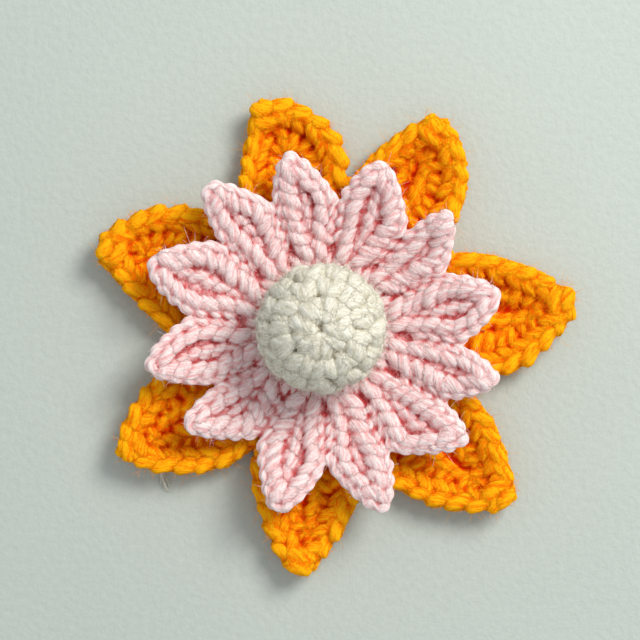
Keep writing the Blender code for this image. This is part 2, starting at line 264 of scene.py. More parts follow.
def flat_place(layer, index, place, along):
    """A point of a petal seen from above. place runs from -1 at its clockwise edge to 1, and along from
    0 at the hole, through 1 at the notches, to 2 at the tip."""
    if along <= 1:
        return inner_place(layer, index, place, along)
    petal = layer.petals[index]
    beyond = along - 1
    tip = polar(petal.tip_deg, petal.reach * layer.radius)
    start = inner_place(layer, index, 0, 1)
    edge = inner_place(layer, index, place, 1)
    line = (tip - start).normalized()
    left = Vector((-line.y, line.x))
    lagging = (edge - start).dot(line) * (1 - beyond)
    side = petal.anticlockwise if place > 0 else petal.clockwise
    notch = inner_place(layer, index, math.copysign(1, place), 1)
    notch_width = abs((notch - start).dot(left))
    full_width = side.half_width * layer.radius if side.half_width else notch_width
    width = full_width * width_share(layer.finger, side.taper, beyond)
    width += (notch_width - full_width) * (1 - beyond) ** NOTCH_BLEND
    sideways = (edge - start).dot(left) * width / notch_width
    return start + (tip - start) * beyond + line * lagging + left * sideways


def on_petal(layer, index, place, along, above=0.0):
    """A point of a petal in the frame. above is its height over the middle of the petal's thickness."""
    flat = flat_place(layer, index, place, along)
    height = layer.height(layer.petals[index], flat.length, place)
    return Vector((flat.x + AXIS.x, flat.y + AXIS.y, height + above))


def half_width(layer, index, side, along):
    middle = flat_place(layer, index, 0, along)
    return (flat_place(layer, index, side, along) - middle).length


def inset_place(layer, index, side, along, inset):
    """The place that lies this far inside one edge of a petal."""
    half = half_width(layer, index, side, along)
    return side * max(0.0, 1 - inset / max(half, 0.1 * MM))


PathPoint = namedtuple("PathPoint", "point normal")


def petal_normal(layer, index, place, along):
    step = 0.02
    across = on_petal(layer, index, min(1, place + step), along) - on_petal(
        layer, index, max(-1, place - step), along
    )
    outward = on_petal(layer, index, place, min(2, along + step)) - on_petal(
        layer, index, place, along - step
    )
    normal = outward.cross(across)
    return (normal if normal.z > 0 else -normal).normalized()


def evenly(path, spacing):
    """The path's points again, this far apart."""
    lengths = [0.0]
    for first, second in zip(path, path[1:]):
        lengths.append(lengths[-1] + (second.point - first.point).length)
    count = max(1, round(lengths[-1] / spacing))
    found = []
    index = 0
    for number in range(count + 1):
        wanted = lengths[-1] * number / count
        while index < len(path) - 2 and lengths[index + 1] < wanted:
            index += 1
        span = max(lengths[index + 1] - lengths[index], 1e-9)
        share = (wanted - lengths[index]) / span
        first, second = path[index], path[index + 1]
        normal = first.normal.lerp(second.normal, share).normalized()
        found.append(PathPoint(first.point.lerp(second.point, share), normal))
    return found


def petal_line(layer, index, place_of, start, end, above, steps=24):
    """A line along a petal. place_of gives its place across the petal at each share of its length."""
    path = []
    for number in range(steps + 1):
        along = start + (end - start) * number / steps
        place = place_of(along)
        path.append(
            PathPoint(
                on_petal(layer, index, place, along, above), petal_normal(layer, index, place, along)
            )
        )
    return path


def rim_line(layer, index, inset, start, above):
    """A line that follows a petal's rim, this far inside it, from its base over its tip and back."""
    # The two sides meet where the petal gets too narrow for the inset
    last = 2.0
    while last > 1.2 and min(half_width(layer, index, side, last) for side in (-1, 1)) < inset:
        last -= 0.02
    sides = []
    for side in (-1, 1):
        def place_of(along, side=side):
            return inset_place(layer, index, side, along, inset)

        sides.append(petal_line(layer, index, place_of, start, last, above))
    petal = layer.petals[index]
    reach = petal.reach * layer.radius
    tip_along = 2 - inset * 0.8 / (reach - petal.notch_radius * layer.radius)
    tip = PathPoint(
        on_petal(layer, index, 0, max(last, tip_along), above), petal_normal(layer, index, 0, 1.9)
    )
    return smoothed(sides[0] + [tip] + sides[1][::-1])


def smoothed(path):
    """The path with its corners eased."""
    for _ in range(2):
        eased = [path[0]]
        for before, here, after in zip(path, path[1:], path[2:]):
            point = before.point * 0.25 + here.point * 0.5 + after.point * 0.25
            normal = (before.normal + here.normal * 2 + after.normal).normalized()
            eased.append(PathPoint(point, normal))
        path = eased + [path[-1]]
    return path


# The lobes of a strand that is cut across, how high they are as a share of its radius, and its sides
STRAND_LOBES = 3
LOBE_DEPTH = 0.1
STRAND_SIDES = 9
FIBRE_SIDES = 3
TAIL_SIDES = 4


class Skein:
    """Lengths of plied yarn that become one mesh. Each one closes in a point at both ends."""

    def __init__(self, name, lobes=STRAND_LOBES, lobe_depth=LOBE_DEPTH, sides=STRAND_SIDES):
        self.name = name
        self.sides = sides
        self.profile = self._profile(lobes, lobe_depth)
        self.curve = bpy.data.curves.new(name, "CURVE")
        self.curve.dimensions = "3D"
        self.curve.bevel_mode = "OBJECT"
        self.curve.bevel_object = self.profile
        self.curve.use_fill_caps = False
        self.curve.twist_mode = "MINIMUM"
        self.lengths = []
        self.strands = []
        self.depths = []

    def _profile(self, lobes, lobe_depth):
        """A strand cut across: a circle with soft lobes."""
        outline = bpy.data.curves.new(self.name + "_profile", "CURVE")
        outline.dimensions = "2D"
        spline = outline.splines.new("POLY")
        spline.points.add(self.sides - 1)
        spline.use_cyclic_u = True
        for number, point in enumerate(spline.points):
            angle = -math.tau * number / self.sides
            radius = 0.5 * (1 + lobe_depth * math.cos(lobes * angle))
            point.co = (radius * math.cos(angle), radius * math.sin(angle), 0, 1)
        made = bpy.data.objects.new(self.name + "_profile", outline)
        bpy.context.scene.collection.objects.link(made)
        return made

    def lay(self, points, widths, turns, depth=0.0):
        """Adds one length of yarn. turns is how often its lobes wind round it, and depth is how hollow
        the place is where it lies, about 1 deep between stitches and less than 0 on a ridge. It sets how
        much painted shade the yarn's colour gets."""
        spline = self.curve.splines.new("POLY")
        spline.points.add(len(points) - 1)
        self.strands.append((points, widths))
        self.depths += [depth] * len(points)
        distance = 0.0
        distances = []
        for number, target in enumerate(spline.points):
            ending = number in (0, len(points) - 1)
            target.co = (*points[number], 1)
            target.radius = 0.0 if ending else widths[number]
            target.tilt = math.tau * turns * number / (len(points) - 1)
            if number:
                distance += (points[number] - points[number - 1]).length
            distances.append(distance)
        self.lengths.append(distances)

    def drawn(self, tones):
        """The yarn as a mesh. Its attributes say where each point lies along and round its strand."""
        drawn = bpy.data.objects.new(self.name, self.curve)
        bpy.context.scene.collection.objects.link(drawn)
        mesh = applied(drawn, self.name)
        bpy.data.objects.remove(drawn)
        bpy.data.objects.remove(self.profile)
        strand = []
        tone = []
        for distances in self.lengths:
            start = tones.uniform(0, 1)
            for distance in distances:
                for number in range(self.sides):
                    angle = math.tau * number / self.sides
                    strand += (math.cos(angle), math.sin(angle), distance / MM + start * 100)
                    tone.append(start)
        # How much painted shade each point's colour gets
        hollow = [depth for depth in self.depths for number in range(self.sides)]
        mesh.attributes.new("strand", "FLOAT_VECTOR", "POINT").data.foreach_set("vector", strand)
        mesh.attributes.new("tone", "FLOAT", "POINT").data.foreach_set("value", tone)
        mesh.attributes.new("hollow", "FLOAT", "POINT").data.foreach_set("value", hollow)
        shape = bmesh.new()
        shape.from_mesh(mesh)
        bmesh.ops.remove_doubles(shape, verts=shape.verts[:], dist=0.002 * MM)
        shape.to_mesh(mesh)
        shape.free()
        return mesh


def applied(made, name):
    """An object's mesh with its curve drawn and its modifiers applied."""
    bpy.context.view_layer.update()
    graph = bpy.context.evaluated_depsgraph_get()
    mesh = bpy.data.meshes.new_from_object(made.evaluated_get(graph))
    mesh.name = name
    return mesh


def finished(mesh, material):
    """The mesh as a smooth object of one material, in the scene."""
    mesh.materials.clear()
    mesh.materials.append(material)
    return placed(mesh)


# How fine a felted skin's faces are, and how many rounds of smoothing it gets
Felt = namedtuple("Felt", "voxel passes")
ORANGE_FELT = Felt(0.48 * MM, 1)
PINK_FELT = Felt(0.375 * MM, 1)
BALL_FELT = Felt(0.28 * MM, 7)


def felted(name, strands, core, felt):
    """Strands and the body below them as one closed skin, soft in its creases as felted wool is. The skin
    keeps where each point lies along and round its strand, and stands out over each ply."""
    shape = bmesh.new()
    shape.from_mesh(strands)
    shape.from_mesh(core)
    joined = bpy.data.meshes.new(name)
    shape.to_mesh(joined)
    shape.free()
    piece = bpy.data.objects.new(name, joined)
    bpy.context.scene.collection.objects.link(piece)
    remesh = piece.modifiers.new("skin", "REMESH")
    remesh.mode = "VOXEL"
    remesh.voxel_size = felt.voxel
    smooth = piece.modifiers.new("soft", "SMOOTH")
    smooth.factor = 0.5
    smooth.iterations = felt.passes
    skin = applied(piece, name)
    bpy.data.objects.remove(piece)
    bpy.data.meshes.remove(joined)
    skin.name = name
    follow_strands(skin, strands)
    return skin


def rested(height):
    """A height over the paper, squeezed where the yarn would sink into it."""
    if height > REST_HEIGHT:
        return height
    return REST_HEIGHT * math.exp(height / REST_HEIGHT - 1)


def follow_strands(skin, strands):
    """Copies to each point of the skin the strand that is nearest to it, and lifts it over the plies."""
    corners = [vertex.co.copy() for vertex in strands.vertices]
    faces = [list(face.vertices) for face in strands.polygons]
    tree = BVHTree.FromPolygons(corners, faces)
    of_strand = strands.attributes["strand"].data
    of_tone = strands.attributes["tone"].data
    strand = []
    tone = []
    places = [vertex.co.copy() for vertex in skin.vertices]
    normals = [vertex.normal.copy() for vertex in skin.vertices]
    lifted = []
    for here, normal in zip(places, normals):
        nearest, _, number, _ = tree.find_nearest(here)
        face = faces[number]
        shares = poly_3d_calc([corners[corner] for corner in face], nearest)
        place = Vector((0, 0, 0))
        for share, corner in zip(shares, face):
            place += of_strand[corner].vector * share
        strand += place[:]
        tone.append(of_tone[face[0]].value)
        ply = math.cos(PLIES * math.atan2(place.y, place.x))
        raised = here + normal * PLY_RELIEF * ply
        lifted += (raised.x, raised.y, rested(raised.z))
    skin.vertices.foreach_set("co", lifted)
    skin.attributes.new("strand", "FLOAT_VECTOR", "POINT").data.foreach_set("vector", strand)
    skin.attributes.new("tone", "FLOAT", "POINT").data.foreach_set("value", tone)
    # How much painted shade each point's colour gets, which mark_hollows fills
    skin.attributes.new("hollow", "FLOAT", "POINT")


def placed(mesh):
    """A smooth object with this mesh, in the scene."""
    for face in mesh.polygons:
        face.use_smooth = True
    made = bpy.data.objects.new(mesh.name, mesh)
    bpy.context.scene.collection.objects.link(made)
    return made


# How one stitch lies on its surface. slant_deg is measured from the line that it follows, arch is how far
# its middle stands above its ends, bow is how far it bends sideways, and dive is how far its ends sink.
Stitch = namedtuple("Stitch", "length width slant_deg arch bow dive")
STITCH_POINTS = 9

# Where the ends of a stitch begin to sink, as a share of its half length, and how blunt they are
DIVE_START = 0.35
END_BLUNTNESS = 4.5

# A stitch's points lie closer together near its ends than an even spacing, whose power is 1
POINT_SPACING_POWER = 0.85

# How often a stitch's yarn turns about itself from end to end
STITCH_TURNS = 0.45


def lay_stitch(skein, centre, tangent, normal, stitch, turns):
    """Adds one stitch: a short strand that rises from its surface, bows, and sinks in again."""
    side = normal.cross(tangent).normalized()
    slant = math.radians(stitch.slant_deg)
    forward = tangent * math.cos(slant) + side * math.sin(slant)
    across = side * math.cos(slant) - tangent * math.sin(slant)
    points = []
    widths = []
    for number in range(STITCH_POINTS):
        share = 2 * number / (STITCH_POINTS - 1) - 1
        share = math.copysign(abs(share) ** POINT_SPACING_POWER, share)
        sunk = max(0.0, abs(share) - DIVE_START) / (1 - DIVE_START)
        rise = stitch.arch * (1 - share * share) - stitch.dive * sunk**2
        sway = stitch.bow * (1 - share * share)
        points.append(centre + forward * share * stitch.length / 2 + across * sway + normal * rise)
        widths.append(stitch.width * math.sqrt(max(0.0, 1 - abs(share) ** END_BLUNTNESS)))
    skein.lay(points, widths, turns)


def varied(stitch, rng, amount):
    """The stitch with small differences, as a hand makes them."""
    return Stitch(
        stitch.length * (1 + amount * rng.uniform(-0.5, 0.5)),
        stitch.width * (1 + amount * rng.uniform(-0.5, 0.5)),
        stitch.slant_deg + 40 * amount * rng.uniform(-1, 1),
        stitch.arch * (1 + amount * rng.uniform(-1, 1)),
        stitch.bow + stitch.width * amount * rng.uniform(-0.5, 0.5),
        stitch.dive * (1 + amount * rng.uniform(-0.5, 0.5)),
    )


def stitch_row(skein, path, pitch, stitch, rng, amount=0.25):
    """Lays stitches along a path, one every pitch."""
    even = evenly(path, pitch)
    for here, there in zip(even, even[1:]):
        tangent = (there.point - here.point).normalized()
        centre = here.point.lerp(there.point, 0.5 + 0.2 * amount * rng.uniform(-1, 1))
        normal = here.normal.lerp(there.normal, 0.5).normalized()
        lay_stitch(skein, centre, tangent, normal, varied(stitch, rng, amount), STITCH_TURNS)


CORD_POINTS_PER_PITCH = 6
CORD_SWELL = 0.12


def cord(skein, path, width, pitch, wave, rng, turns_per_pitch):
    """Lays one unbroken strand along a path. It swells and sways once every pitch."""
    even = evenly(path, pitch / CORD_POINTS_PER_PITCH)
    points = []
    widths = []
    start = rng.uniform(0, math.tau)
    for number, here in enumerate(even):
        before = even[max(0, number - 1)].point
        after = even[min(len(even) - 1, number + 1)].point
        side = here.normal.cross((after - before).normalized()).normalized()
        angle = start + math.tau * number / CORD_POINTS_PER_PITCH
        sway = here.normal * math.cos(angle) + side * math.sin(angle)
        points.append(here.point + sway * wave)
        ends = min(number, len(even) - 1 - number) / 3
        widths.append(width * (1 + CORD_SWELL * math.cos(angle + 1)) * min(1.0, ends))
    skein.lay(points, widths, turns_per_pitch * len(even) / CORD_POINTS_PER_PITCH)


def turned_over(path):
    """The path with its normals on the other side, for stitches that face down."""
    return [PathPoint(here.point, -here.normal) for here in path]


def middle_place(layer, angle_deg, radius):
    """The petal, place and along of a point inside the notches, from its direction and radius."""
    for index, petal in enumerate(layer.petals):
        before = layer.petals[index - 1]
        before_deg = before.notch_deg - (360 if index == 0 else 0)
        for turned in (angle_deg, angle_deg - 360):
            if before_deg <= turned <= petal.notch_deg:
                side = (turned - before_deg) / (petal.notch_deg - before_deg)
                edge = before.notch_radius + (petal.notch_radius - before.notch_radius) * side
                along = (radius - HOLE_RADIUS) / (edge * layer.radius - HOLE_RADIUS)
                return index, 2 * side - 1, along
    raise ValueError(f"no petal lies at {angle_deg} degrees")


def ring_line(layer, radius, above, steps=72):
    """A closed ring round the flower's axis on a layer."""
    path = []
    for number in range(steps + 1):
        index, place, along = middle_place(layer, 360 * number / steps, radius)
        point = on_petal(layer, index, place, along, above)
        path.append(PathPoint(point, petal_normal(layer, index, place, along)))
    return path


# The faces across and along each petal of a core, its half thickness, and how far it stays inside the rim
Core = namedtuple("Core", "columns rows half_thickness edge_inset")
ORANGE_CORE = Core(12, 24, 0.55 * MM, 1.5 * MM)
PINK_CORE = Core(8, 24, 0.5 * MM, 1.2 * MM)
CORE_START = 0.02
CORE_END = 1.96
CORE_LOWEST = 0.3 * MM


def petal_core(name, layer, core):
    """The soft body that a layer's stitches lie on: a sheet that is thinner than they are."""
    shape = bmesh.new()
    for index in range(len(layer.petals)):
        made = bmesh.ops.create_grid(shape, x_segments=core.columns, y_segments=core.rows, size=1)
        for vertex in made["verts"]:
            along = CORE_START + (CORE_END - CORE_START) * (vertex.co.y + 1) / 2
            place = vertex.co.x
            if along > 1:
                half = half_width(layer, index, math.copysign(1, place), along)
                inset = core.edge_inset * smooth_step(1, 1.15, along)
                place *= 1 - inset / max(half, core.edge_inset * 1.2)
            vertex.co = on_petal(layer, index, place, along)
    bmesh.ops.remove_doubles(shape, verts=shape.verts[:], dist=0.02 * MM)
    grown = bmesh.ops.extrude_face_region(shape, geom=shape.faces[:], use_keep_orig=True)
    upper = {item for item in grown["geom"] if isinstance(item, bmesh.types.BMVert)}
    for vertex in shape.verts:
        vertex.co.z += core.half_thickness if vertex in upper else -core.half_thickness
        vertex.co.z = max(vertex.co.z, CORE_LOWEST)
    bmesh.ops.recalc_face_normals(shape, faces=shape.faces[:])
    mesh = bpy.data.meshes.new(name)
    shape.to_mesh(mesh)
    shape.free()
    return mesh


# Shader maths


class Maths:
    """A value in a shader. Python's operators on it add Math nodes."""

    def __init__(self, shader, socket):
        self.shader = shader
        self.socket = socket

    def _math(self, operation, *values):
        return self.shader.node("ShaderNodeMath", {"operation": operation}, values)[0]

    def __add__(self, other):
        return self._math("ADD", self, other)

    __radd__ = __add__

    def __sub__(self, other):
        return self._math("SUBTRACT", self, other)

    def __rsub__(self, other):
        return self._math("SUBTRACT", other, self)

    def __mul__(self, other):
        return self._math("MULTIPLY", self, other)

    __rmul__ = __mul__

    def clipped(self):
        return self._math("MINIMUM", self._math("MAXIMUM", self, 0.0), 1.0)

    def cosine(self):
        return self._math("COSINE", self)

    def direction(self, across):
        """The angle of the point (across, self) about the origin."""
        return self._math("ARCTAN2", self, across)


class Shader:
    """A material's nodes."""

    def __init__(self, name):
        self.material = bpy.data.materials.new(name)
        self.material.use_nodes = True
        self.tree = self.material.node_tree
        self.surface = self.tree.nodes["Principled BSDF"]

    def node(self, kind, settings=None, sockets=()):
        """Adds a node with these settings and socket values or links, and returns its outputs."""
        added = self.tree.nodes.new(kind)
        for key, value in (settings or {}).items():
            setattr(added, key, value)
        pairs = sockets.items() if isinstance(sockets, dict) else enumerate(sockets)
        for key, value in pairs:
            self.feed(added.inputs[key], value)
        return [Maths(self, output) for output in added.outputs]

    def feed(self, target, value):
        if isinstance(value, Maths):
            self.tree.links.new(value.socket, target)
        else:
            target.default_value = value

    def mixed(self, factor, first, second):
        """Two colours mixed."""
        sockets = {0: factor, 6: as_colour(first), 7: as_colour(second)}
        return self.node("ShaderNodeMix", {"data_type": "RGBA"}, sockets)[2]

    def soften(self, pale):
        """The soft sheen and glow of wool."""
        inputs = self.surface.inputs
        inputs["Sheen Weight"].default_value = 0.2
        inputs["Sheen Roughness"].default_value = 0.5
        inputs["Sheen Tint"].default_value = (*pale[:3], 1.0)
        inputs["Specular IOR Level"].default_value = 0.02

    def noise(self, vector, scale, detail, roughness=0.6):
        """Soft noise from 0 to 1."""
        sockets = {"Vector": vector, "Scale": scale, "Detail": detail, "Roughness": roughness}
        return self.node("ShaderNodeTexNoise", {}, sockets)[0]

    def attribute(self, name, output):
        """One output of an attribute that the pieces carry."""
        return self.node("ShaderNodeAttribute", {"attribute_name": name})[output]

    def scaled(self, vector, factors):
        """A vector multiplied part by part."""
        return self.node("ShaderNodeVectorMath", {"operation": "MULTIPLY"}, [vector, factors])[0]

    def bump(self, height, distance):
        """The normal of a surface that is raised by a height from 0 to 1."""
        sockets = {"Strength": 1.0, "Distance": distance, "Height": height}
        return self.node("ShaderNodeBump", {}, sockets)[0]

    def finish(self, **sockets):
        for name, value in sockets.items():
            self.feed(self.surface.inputs[name.replace("_", " ")], value)
        return self.material


def as_colour(value):
    return value if isinstance(value, Maths) else (*value[:3], 1.0)


# Outputs of Blender's nodes: an attribute's vector and value, and Object coordinates
VECTOR_OUTPUT = 1
VALUE_OUTPUT = 2
OBJECT_OUTPUT = 3

# How strongly painted shade darkens each yarn's colour between its stitches
PAINTED_SHADE_STRENGTH = {"orange": 1.3, "pink": 1.3, "cream": 0.8}


def yarn_material(colour):
    """Plied yarn. Painted shade darkens its colour between stitches and plies, and fine fibres run along
    the plies as paler streaks that are partly painted highlight.
    """
    lit, deep, pale = shades_of(colour)
    shader = Shader(colour + "_yarn")
    hollow = shader.attribute("hollow", VALUE_OUTPUT)
    tone = shader.attribute("tone", VALUE_OUTPUT)
    strand = shader.attribute("strand", VECTOR_OUTPUT)
    place = shader.node("ShaderNodeTexCoord")[OBJECT_OUTPUT]
    fibres = shader.noise(shader.scaled(strand, (4.5, 4.5, 0.8)), 1.0, 2.0)
    bundles = shader.noise(shader.scaled(strand, (2.2, 2.2, 0.3)), 1.0, 1.0)
    speckle = shader.noise(place, 2600.0, 2.0)
    patches = shader.noise(place, 200.0, 2.0)
    parts = shader.node("ShaderNodeSeparateXYZ", {}, [strand])
    ply = (parts[1].direction(parts[0]) * PLIES).cosine()
    grain = (fibres - 0.5) * 3.2 + (bundles - 0.5) * 1.6 + (speckle - 0.5) * 1.6 + ply * 0.15
    # Paler streaks along the fibres, partly the yarn's own tone and partly painted highlight, held back
    # in the hollows
    tone_and_painted_highlight = shader.mixed((0.4 + grain * 0.95 - hollow * 0.75).clipped(), lit, pale)
    # Painted shade: the colour goes towards its shade colour in hollows, in creases and between plies,
    # varied by random patches and strand tones
    depth = hollow * PAINTED_SHADE_STRENGTH[colour] - 0.16 - grain * 0.16
    depth = depth + (patches - 0.5) * 0.5 + (tone - 0.5) * 0.15
    tint = shader.mixed(depth.clipped(), tone_and_painted_highlight, deep)
    height = fibres * 0.45 + bundles * 0.25 + speckle * 0.3
    shader.soften(pale)
    return shader.finish(
        Base_Color=tint, Roughness=0.8 + speckle * 0.2, Normal=shader.bump(height, YARN_RELIEF)
    )


def fibre_material(colour):
    """Loose fibres, whose colour takes painted shade from how hollow the place is where they grow, over a
    pale tone that varies at random.
    """
    lit, deep, pale = shades_of(colour)
    shader = Shader(colour + "_fibres")
    hollow = shader.attribute("hollow", VALUE_OUTPUT)
    tone = shader.attribute("tone", VALUE_OUTPUT)
    bright = shader.mixed(tone * 0.6 + 0.4, lit, pale)
    # Painted shade on the fibres that grow in hollows
    tint = shader.mixed((hollow * 1.5 - 0.1).clipped(), bright, deep)
    shader.soften(pale)
    return shader.finish(Base_Color=tint, Roughness=0.8 + tone * 0.2)


PAPER_TOOTH = 0.2 * MM


def paper_material(name, colour):
    """Pale matt paper with a fine tooth."""
    shader = Shader(name)
    place = shader.node("ShaderNodeTexCoord")[OBJECT_OUTPUT]
    tooth = shader.noise(place, 700.0, 4.0)
    clouds = shader.noise(place, 25.0, 2.0, 0.5)
    darker = [channel * 0.8 for channel in colour[:3]]
    tint = shader.mixed((tooth * 0.7 + clouds * 0.3).clipped(), colour, darker)
    shader.surface.inputs["Specular IOR Level"].default_value = 0.2
    return shader.finish(
        Base_Color=tint, Roughness=0.9 + tooth * 0.1, Normal=shader.bump(tooth, PAPER_TOOTH)
    )


# Stitches


def fit_piece(piece, slot, *nodes):
    """Puts a finished piece on the flower's one body."""
    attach(piece, "root")
    if nodes:
        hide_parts(*nodes)


def place_line(layer, index, place, start, end, above):
    """A line from the base of a petal towards its tip, at one place across it."""
    return petal_line(layer, index, lambda along: place, start, end, above)


def along_at_radius(layer, index, radius):
    """How far along its petal a point at this radius is, inside the notches."""
    petal = layer.petals[index]
    before = layer.petals[index - 1]
    edge = layer.radius * (before.notch_radius + petal.notch_radius) / 2
    return (radius - HOLE_RADIUS) / (edge - HOLE_RADIUS)


def orange_petal_stitches(skein, index, width, rng):
    """The rim, the cup and the back of one orange petal."""
    rim = Stitch(6.8 * MM, 1.1 * width, 26, 0.45 * MM, 0.3 * MM, 0.9 * MM)
    inner = Stitch(6.0 * MM, width, -32, 0.45 * MM, 0.2 * MM, 0.9 * MM)
    post = Stitch(6.0 * MM, 0.95 * width, 80, 0.3 * MM, 0.2 * MM, 1.0 * MM)
    stitch_row(skein, rim_line(ORANGE, index, width * 0.55, 0.8, 0.45 * MM), 4.2 * MM, rim, rng)
    stitch_row(skein, rim_line(ORANGE, index, width * 1.3, 0.9, 0.8 * MM), 3.9 * MM, inner, rng)
    stitch_row(skein, rim_line(ORANGE, index, width * 2.4, 0.9, 0.35 * MM), 2.7 * MM, post, rng)
    middle = Stitch(5.4 * MM, width, 20, 0.3 * MM, 0.2 * MM, 1.0 * MM)
    for place, slant in ((-0.22, 24), (0.22, -24)):
        line = place_line(ORANGE, index, place, 0.8, 1.72, 0.3 * MM)
        stitch_row(skein, line, 3.4 * MM, middle._replace(slant_deg=slant), rng)
    tip_knob(skein, index, width, rng)
    under_rim = Stitch(6.4 * MM, width, -24, 0.3 * MM, 0.2 * MM, 0.8 * MM)
    under = turned_over(rim_line(ORANGE, index, width * 0.6, 0.9, -0.35 * MM))
    stitch_row(skein, under, 4.3 * MM, under_rim, rng)
    for place, slant in ((-0.62, 18), (-0.22, -18), (0.22, 18), (0.62, -18)):
        line = turned_over(place_line(ORANGE, index, place, 0.95, 1.8, -0.45 * MM))
        stitch_row(skein, line, 4.0 * MM, middle._replace(slant_deg=slant), rng)


def tip_knob(skein, index, width, rng):
    """The last stitches of an orange petal, which cross its tip as a raised knob."""
    outer_length = (flat_place(ORANGE, index, 0, 2) - flat_place(ORANGE, index, 0, 1)).length
    for back, length, above in ((1.9 * MM, 4.8 * MM, 0.9 * MM), (4.3 * MM, 6.4 * MM, 1.1 * MM)):
        along = 2 - back / outer_length
        centre = on_petal(ORANGE, index, 0, along, above)
        outward = (centre - on_petal(ORANGE, index, 0, along - 0.1, above)).normalized()
        normal = petal_normal(ORANGE, index, 0, along)
        knob = Stitch(length, 1.2 * width, 78, 0.5 * MM, 0.3 * MM, 0.9 * MM)
        lay_stitch(skein, centre, outward, normal, varied(knob, rng, 0.15), STITCH_TURNS)


def pink_petal_stitches(skein, index, width, rng):
    """The rim, the two columns, the groove between them and the back of one pink petal."""
    base = along_at_radius(PINK, index, 14.8 * MM)
    rim = rim_line(PINK, index, width * 0.55, 0.6, 0.4 * MM)
    cord(skein, rim, 1.15 * width, 3.0 * MM, 0.1 * MM, rng, 0.28)
    rope_side = PINK_ROPE_SIDES[index]
    column = Stitch(5.0 * MM, 1.45 * width, 24, 0.3 * MM, 0.2 * MM, 0.9 * MM)
    for side in (-1, 1):
        line = column_line(index, side, 1.55 * width, base, 1.78, 0.6 * MM)
        if side == rope_side:
            stitch_row(skein, line, 3.4 * MM, column._replace(slant_deg=-14 * side), rng, amount=0.15)
        else:
            stitch_row(skein, line, 2.8 * MM, column._replace(slant_deg=36 * side), rng)
    groove = Stitch(4.4 * MM, 1.1 * width, 12, 0.2 * MM, 0.1 * MM, 0.6 * MM)
    line = place_line(PINK, index, 0.0, base, 1.75, 0.1 * MM)
    stitch_row(skein, line, 2.9 * MM, groove, rng)
    under = Stitch(4.6 * MM, 1.3 * width, 24, 0.3 * MM, 0.2 * MM, 1.0 * MM)
    for side in (-1, 1):
        line = turned_over(place_line(PINK, index, 0.45 * side, base, 1.75, -0.5 * MM))
        stitch_row(skein, line, 3.2 * MM, under._replace(slant_deg=24 * side), rng)


# Up to this far along a pink petal, its columns stay at least this share of its half width from its
# middle
COLUMN_HELD_TO = 1.3
COLUMN_NEAREST = 0.42


def column_line(index, side, inset, start, end, above):
    """The line of one column of a pink petal, inside its rim and not past the petal's middle."""

    def place_of(along):
        inside = inset_place(PINK, index, side, along, inset)
        return side * max(COLUMN_NEAREST, abs(inside)) if along < COLUMN_HELD_TO else inside

    return petal_line(PINK, index, place_of, start, end, above)


def middle_rounds(skein, layer, radii, width, above, below, rng):
    """Rounds of upright stitches round the middle of a layer, on one of its faces."""
    for number, radius in enumerate(radii):
        line = ring_line(layer, radius, above)
        if below:
            line = turned_over(line)
        upright = Stitch(4.6 * MM, width, 82 if number % 2 else 98, 0.3 * MM, 0.2 * MM, 1.0 * MM)
        stitch_row(skein, line, width * 1.05, upright, rng)


def ball_point(polar_deg, around_deg, outward=0.0):
    """A point of the ball. polar_deg is measured from its top."""
    polar_angle = math.radians(polar_deg)
    level = math.cos(polar_angle)
    height = BALL_HIGH[2] - BALL_SHOULDER if level > 0 else BALL_SHOULDER - BALL_LOW[2]
    flat = polar(around_deg, (BALL_RADIUS + outward) * math.sin(polar_angle))
    return Vector((AXIS.x + flat.x, AXIS.y + flat.y, BALL_SHOULDER + (height + outward) * level))


def ball_normal(polar_deg, around_deg):
    step = 1.0
    down = ball_point(polar_deg + step, around_deg) - ball_point(polar_deg - step, around_deg)
    along = ball_point(polar_deg, around_deg + step) - ball_point(polar_deg, around_deg - step)
    return down.cross(along).normalized()


# Each round of the ball: how far from its top it lies, how many stitches it has and how long they are
BALL_ROUNDS = (
    (18, 6, 5.4 * MM),
    (43, 11, 5.6 * MM),
    (66, 13, 5.4 * MM),
    (88, 13, 5.2 * MM),
    (110, 12, 5.0 * MM),
    (131, 9, 5.0 * MM),
    (151, 6, 4.6 * MM),
    (169, 3, 4.6 * MM),
)


# How deep a stitch's middle lies, as a share of its width, and how far its arms stand apart, as a share
# of the room that each stitch has
BALL_STITCH_DEPTH = 0.7
BALL_ARM_SPREAD = 0.185

# Each round starts this much further round the ball, as a share of the room of one stitch
BALL_ROUND_SHIFT = 0.37
BALL_STITCH_TURNS = 0.4
BALL_CORE_INSET = 1.6 * MM


def ball_stitches(skein, width, rng):
    """Rounds of V stitches, each one two arms that meet towards the top of the ball."""
    for number, (polar_deg, count, length) in enumerate(BALL_ROUNDS):
        for stitch_number in range(count):
            started = stitch_number + BALL_ROUND_SHIFT * number
            around = 360 * (started + rng.uniform(-0.12, 0.12)) / count
            for arm in (-1, 1):
                deg = around + arm * 360 / count * BALL_ARM_SPREAD
                here = polar_deg + rng.uniform(-1.5, 1.5)
                centre = ball_point(here, deg, -BALL_STITCH_DEPTH * width)
                tangent = (ball_point(here + 1, deg) - ball_point(here - 1, deg)).normalized()
                shape = Stitch(length, 1.28 * width, 19 * arm, 0.35 * MM, 0, 1.0 * MM)
                normal = ball_normal(here, deg)
                lay_stitch(skein, centre, tangent, normal, varied(shape, rng, 0.3), BALL_STITCH_TURNS)


